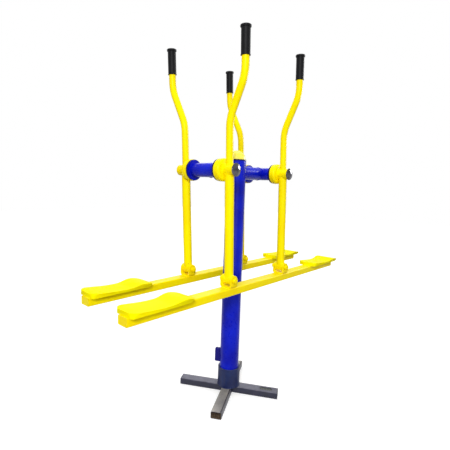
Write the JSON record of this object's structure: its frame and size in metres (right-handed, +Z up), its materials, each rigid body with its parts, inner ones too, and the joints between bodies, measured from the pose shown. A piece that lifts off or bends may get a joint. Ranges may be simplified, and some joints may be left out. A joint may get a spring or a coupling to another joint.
{
  "type": "outdoor cross trainer",
  "caption": "Outdoor cross trainer: swinging arms with bent handles carry level foot rails with waved pedals about a central post on a cross base.",
  "frame": {"origin": "the middle of the foot of the post, on the ground under the base cross", "axes": "X along the foot rails, towards the pedals' toes; Y across the rails, with the bright hub caps on the -Y side; Z up"},
  "size_m": [1.7869, 0.571, 1.9954],
  "materials": {
    "yellow_paint": "gloss enamel, sunlit",
    "blue_paint": "gloss enamel",
    "navy_paint": "satin enamel, weathered",
    "leg_paint": "grey steel with worn dark blue paint",
    "cap_plastic": "pale yellow moulded plastic",
    "pedal_plastic": "moulded plastic",
    "grip_rubber": "matt",
    "buffer_rubber": "matt",
    "bush_plastic": "black nylon",
    "chrome_cap": "polished",
    "zinc_steel": "zinc plated",
    "bearing_steel": "ground"
  },
  "bodies": {
    "stand": {"base_long_leg": "leg_paint", "base_side_legs": "leg_paint", "post_socket": "navy_paint", "post": "blue_paint", "post_lug": "blue_paint", "post_cap": "cap_plastic", "spine_tube": "blue_paint", "left_axle_tube": "blue_paint", "right_axle_tube": "blue_paint", "axle_discs": "blue_paint", "axle_shafts": "zinc_steel", "bearing_inner_rings": "bearing_steel", "axle_nuts": "zinc_steel", "swing_buffers": "buffer_rubber"},
    "left_near_arm": {"left_near_hub": "yellow_paint", "left_near_lower_tube": "yellow_paint", "left_near_handle_tube": "yellow_paint", "left_near_foot_sleeve": "yellow_paint", "left_near_grip": "grip_rubber", "left_near_hub_cap": "chrome_cap", "left_near_bearings": "bearing_steel", "left_near_foot_bushes": "bush_plastic"},
    "right_near_arm": {"right_near_hub": "yellow_paint", "right_near_lower_tube": "yellow_paint", "right_near_handle_tube": "yellow_paint", "right_near_foot_sleeve": "yellow_paint", "right_near_grip": "grip_rubber", "right_near_hub_cap": "chrome_cap", "right_near_bearings": "bearing_steel", "right_near_foot_bushes": "bush_plastic"},
    "near_foot_rail": {"near_rail": "yellow_paint", "near_rail_brackets": "yellow_paint", "near_pivot_bolts": "yellow_paint", "near_left_pedal": "pedal_plastic", "near_right_pedal": "pedal_plastic", "near_pedal_bolts": "zinc_steel", "near_rail_end_caps": "yellow_paint"},
    "left_far_arm": {"left_far_hub": "yellow_paint", "left_far_lower_tube": "yellow_paint", "left_far_handle_tube": "yellow_paint", "left_far_foot_sleeve": "yellow_paint", "left_far_grip": "grip_rubber", "left_far_hub_cap": "yellow_paint", "left_far_bearings": "bearing_steel", "left_far_foot_bushes": "bush_plastic"},
    "right_far_arm": {"right_far_hub": "yellow_paint", "right_far_lower_tube": "yellow_paint", "right_far_handle_tube": "yellow_paint", "right_far_foot_sleeve": "yellow_paint", "right_far_grip": "grip_rubber", "right_far_hub_cap": "yellow_paint", "right_far_bearings": "bearing_steel", "right_far_foot_bushes": "bush_plastic"},
    "far_foot_rail": {"far_rail": "yellow_paint", "far_rail_brackets": "yellow_paint", "far_pivot_bolts": "yellow_paint", "far_left_pedal": "pedal_plastic", "far_right_pedal": "pedal_plastic", "far_pedal_bolts": "zinc_steel", "far_rail_end_caps": "yellow_paint"}
  },
  "joints": [
    {"name": "near_swing", "type": "hinge", "parent": "stand", "child": "left_near_arm", "pos_m": [-0.242, -0.164, 1.335], "axis": [0, 1, 0], "range_deg": [-32.6, 37.4]},
    {"name": "near_right_arm_swing", "type": "hinge", "parent": "stand", "child": "right_near_arm", "pos_m": [0.242, -0.164, 1.335], "axis": [0, 1, 0], "range_deg": [-32.6, 37.4]},
    {"name": "near_rail_pivot", "type": "hinge", "parent": "left_near_arm", "child": "near_foot_rail", "pos_m": [-0.21821, -0.164, 0.7675], "axis": [0, 1, 0], "range_deg": [-37.4, 32.6]},
    {"name": "far_swing", "type": "hinge", "parent": "stand", "child": "left_far_arm", "pos_m": [-0.242, 0.164, 1.335], "axis": [0, 1, 0], "range_deg": [-31.6, 38.4]},
    {"name": "far_right_arm_swing", "type": "hinge", "parent": "stand", "child": "right_far_arm", "pos_m": [0.242, 0.164, 1.335], "axis": [0, 1, 0], "range_deg": [-31.6, 38.4]},
    {"name": "far_rail_pivot", "type": "hinge", "parent": "left_far_arm", "child": "far_foot_rail", "pos_m": [-0.20831, 0.164, 0.768], "axis": [0, 1, 0], "range_deg": [-38.4, 31.6]}
  ],
  "couplings": [
    {"joint": "near_right_arm_swing", "follows": "near_swing", "ratio": 1},
    {"joint": "near_rail_pivot", "follows": "near_swing", "ratio": -1},
    {"joint": "far_right_arm_swing", "follows": "far_swing", "ratio": 1},
    {"joint": "far_rail_pivot", "follows": "far_swing", "ratio": -1}
  ]
}
